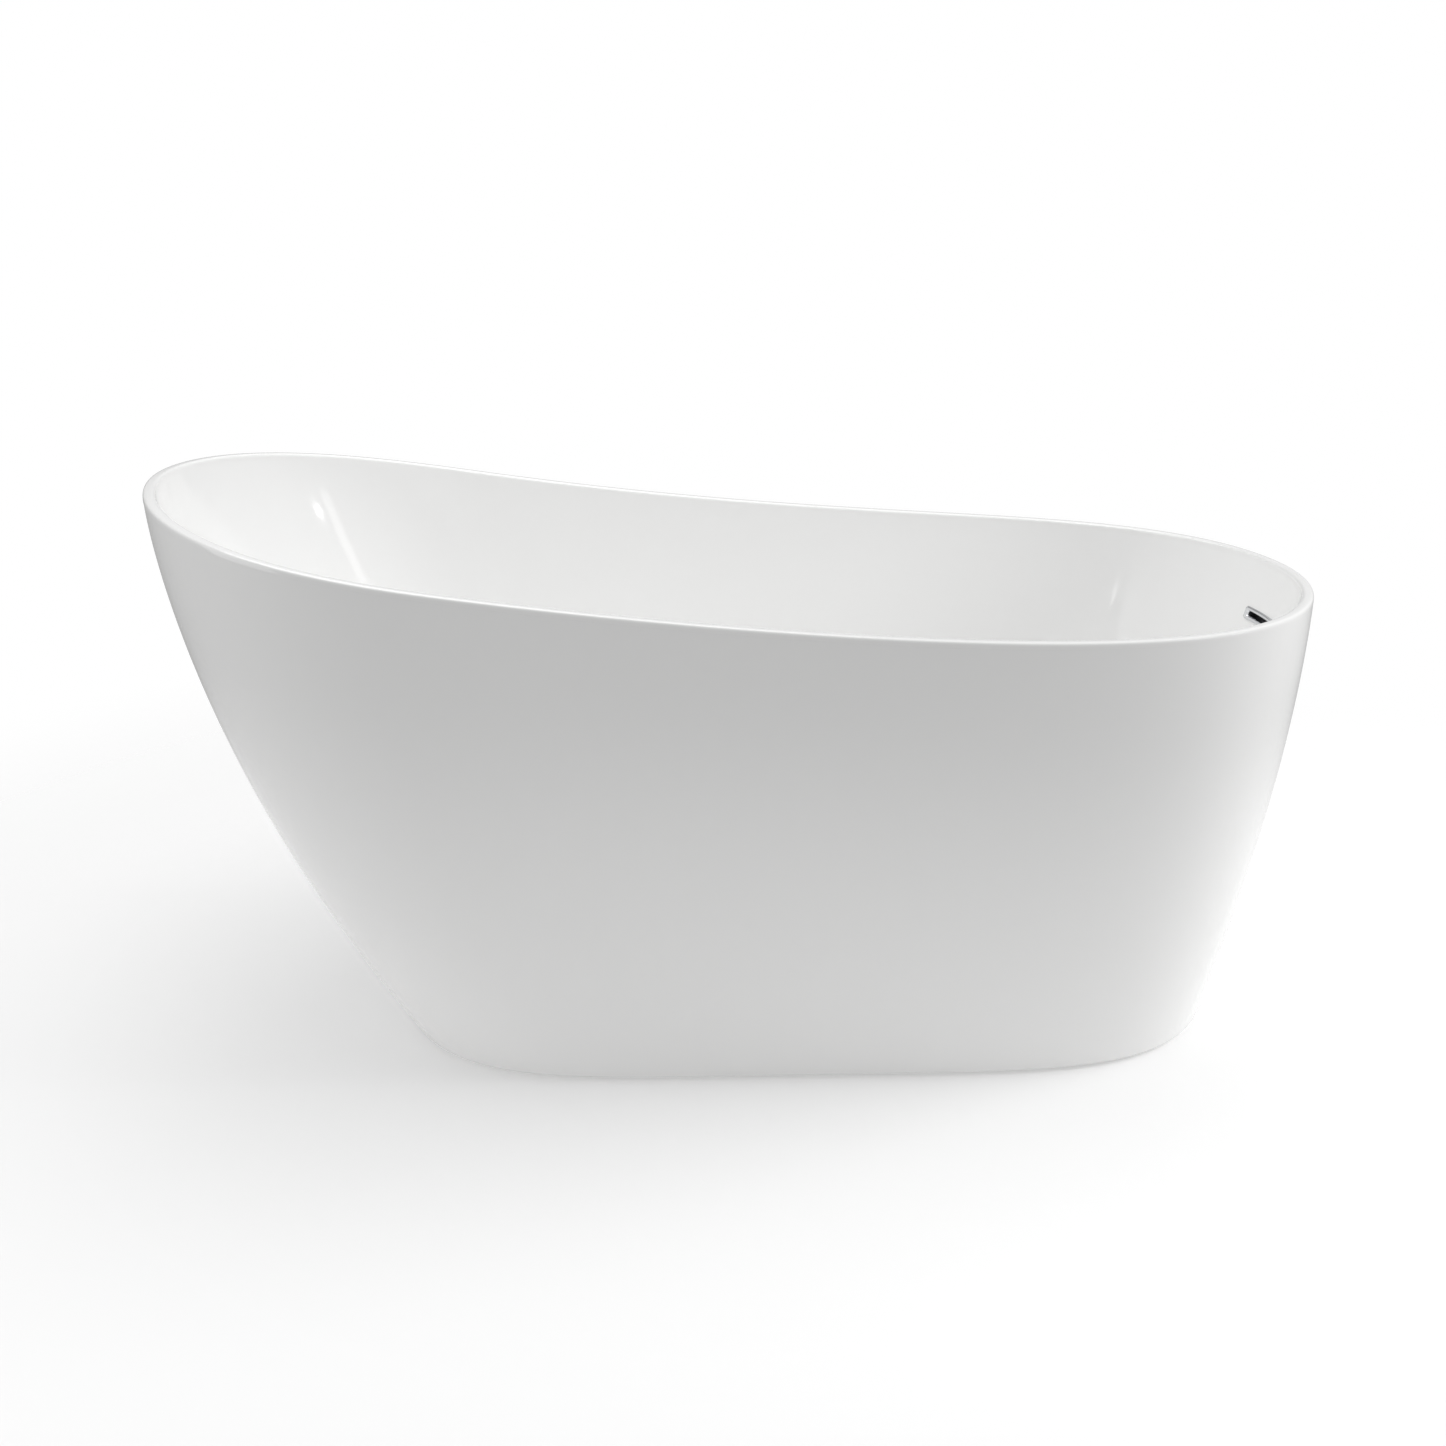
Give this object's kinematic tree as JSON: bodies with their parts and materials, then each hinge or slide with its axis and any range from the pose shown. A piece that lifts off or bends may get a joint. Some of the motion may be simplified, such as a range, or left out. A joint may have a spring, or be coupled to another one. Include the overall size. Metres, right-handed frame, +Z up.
{
  "type": "freestanding bathtub",
  "caption": "Freestanding slipper bathtub: a high sloping head end, a low foot end with a slot overflow, a double shell, a levelling frame and a press-to-close drain.",
  "frame": {"origin": "on the floor under the middle of the tub", "axes": "+X towards the low foot end, +Y across the tub, +Z up"},
  "size_m": [1.5, 0.745, 0.72],
  "materials": {
    "acrylic": "high gloss white",
    "chrome": "polished",
    "galvanised_steel": "galvanised",
    "zinc_steel": "zinc plated",
    "plywood": "raw, resin coated",
    "rubber": "matt",
    "black_plastic": "moulded",
    "white_plastic": "moulded",
    "hose_plastic": "corrugated, satin",
    "brass": "machined"
  },
  "bodies": {
    "tub": {"base_board": "plywood", "basin": "acrylic", "board_screw_1": "zinc_steel", "board_screw_2": "zinc_steel", "board_screw_3": "zinc_steel", "board_screw_4": "zinc_steel", "cross_rail_1": "galvanised_steel", "cross_rail_2": "galvanised_steel", "cross_rail_3": "galvanised_steel", "drain_cartridge": "brass", "drain_flange": "chrome", "drain_gasket": "rubber", "drain_lock_nut": "brass", "drain_spring": "zinc_steel", "drain_washer": "rubber", "flange_screw_1": "zinc_steel", "flange_screw_2": "zinc_steel", "flange_screw_3": "zinc_steel", "flange_screw_4": "zinc_steel", "frame_bolt_1": "zinc_steel", "frame_bolt_2": "zinc_steel", "frame_bolt_3": "zinc_steel", "frame_bolt_4": "zinc_steel", "frame_bolt_5": "zinc_steel", "frame_bolt_6": "zinc_steel", "hose_clamp_1": "zinc_steel", "hose_clamp_2": "zinc_steel", "outer_skirt": "acrylic", "outlet_nut": "white_plastic", "outlet_pipe": "white_plastic", "overflow_body": "black_plastic", "overflow_gasket": "rubber", "overflow_hose": "hose_plastic", "overflow_trim": "chrome", "rail_screw_1": "zinc_steel", "rail_screw_2": "zinc_steel", "rail_screw_3": "zinc_steel", "rail_screw_4": "zinc_steel", "side_rail_1": "galvanised_steel", "side_rail_2": "galvanised_steel", "skirt_bracket_1": "galvanised_steel", "skirt_bracket_2": "galvanised_steel", "skirt_bracket_3": "galvanised_steel", "skirt_bracket_4": "galvanised_steel", "waste_body": "white_plastic"},
    "foot_1": {"foot_pad_1": "black_plastic"},
    "foot_2": {"foot_pad_2": "black_plastic"},
    "foot_3": {"foot_pad_3": "black_plastic"},
    "foot_4": {"foot_pad_4": "black_plastic"},
    "foot_5": {"foot_pad_5": "black_plastic"},
    "stud_1": {"foot_stud_1": "zinc_steel"},
    "stud_2": {"foot_stud_2": "zinc_steel"},
    "stud_3": {"foot_stud_3": "zinc_steel"},
    "stud_4": {"foot_stud_4": "zinc_steel"},
    "stud_5": {"foot_stud_5": "zinc_steel"},
    "drain_stopper": {"drain_cap": "chrome", "drain_cap_seal": "rubber", "drain_plunger": "brass"}
  },
  "joints": [
    {"name": "foot_1_height", "type": "slide", "parent": "tub", "child": "foot_1", "axis": [0, 0, -1], "range_m": [-0.004, 0.02]},
    {"name": "stud_1_turn", "type": "hinge", "parent": "foot_1", "child": "stud_1", "pos_m": [-0.309, -0.20498, 0.05], "axis": [0, 0, -1], "range_deg": [-828, 4120]},
    {"name": "foot_2_height", "type": "slide", "parent": "tub", "child": "foot_2", "axis": [0, 0, -1], "range_m": [-0.004, 0.02]},
    {"name": "stud_2_turn", "type": "hinge", "parent": "foot_2", "child": "stud_2", "pos_m": [-0.309, 0.20498, 0.05], "axis": [0, 0, -1], "range_deg": [-828, 4120]},
    {"name": "foot_3_height", "type": "slide", "parent": "tub", "child": "foot_3", "axis": [0, 0, -1], "range_m": [-0.004, 0.02]},
    {"name": "stud_3_turn", "type": "hinge", "parent": "foot_3", "child": "stud_3", "pos_m": [0.1015, 0, 0.05], "axis": [0, 0, -1], "range_deg": [-828, 4120]},
    {"name": "foot_4_height", "type": "slide", "parent": "tub", "child": "foot_4", "axis": [0, 0, -1], "range_m": [-0.004, 0.02]},
    {"name": "stud_4_turn", "type": "hinge", "parent": "foot_4", "child": "stud_4", "pos_m": [0.512, -0.19213, 0.05], "axis": [0, 0, -1], "range_deg": [-828, 4120]},
    {"name": "foot_5_height", "type": "slide", "parent": "tub", "child": "foot_5", "axis": [0, 0, -1], "range_m": [-0.004, 0.02]},
    {"name": "stud_5_turn", "type": "hinge", "parent": "foot_5", "child": "stud_5", "pos_m": [0.512, 0.19213, 0.05], "axis": [0, 0, -1], "range_deg": [-828, 4120]},
    {"name": "drain_stopper_press", "type": "slide", "parent": "tub", "child": "drain_stopper", "axis": [0, 0, 1], "range_m": [-0.01, 0], "stiffness_N_per_m": 300, "springref_m": 0.01, "deforming": ["drain_spring"]}
  ],
  "couplings": [
    {"joint": "stud_1_turn", "follows": "foot_1_height", "rad_per_m": 3590.4},
    {"joint": "stud_2_turn", "follows": "foot_2_height", "rad_per_m": 3590.4},
    {"joint": "stud_3_turn", "follows": "foot_3_height", "rad_per_m": 3590.4},
    {"joint": "stud_4_turn", "follows": "foot_4_height", "rad_per_m": 3590.4},
    {"joint": "stud_5_turn", "follows": "foot_5_height", "rad_per_m": 3590.4}
  ]
}
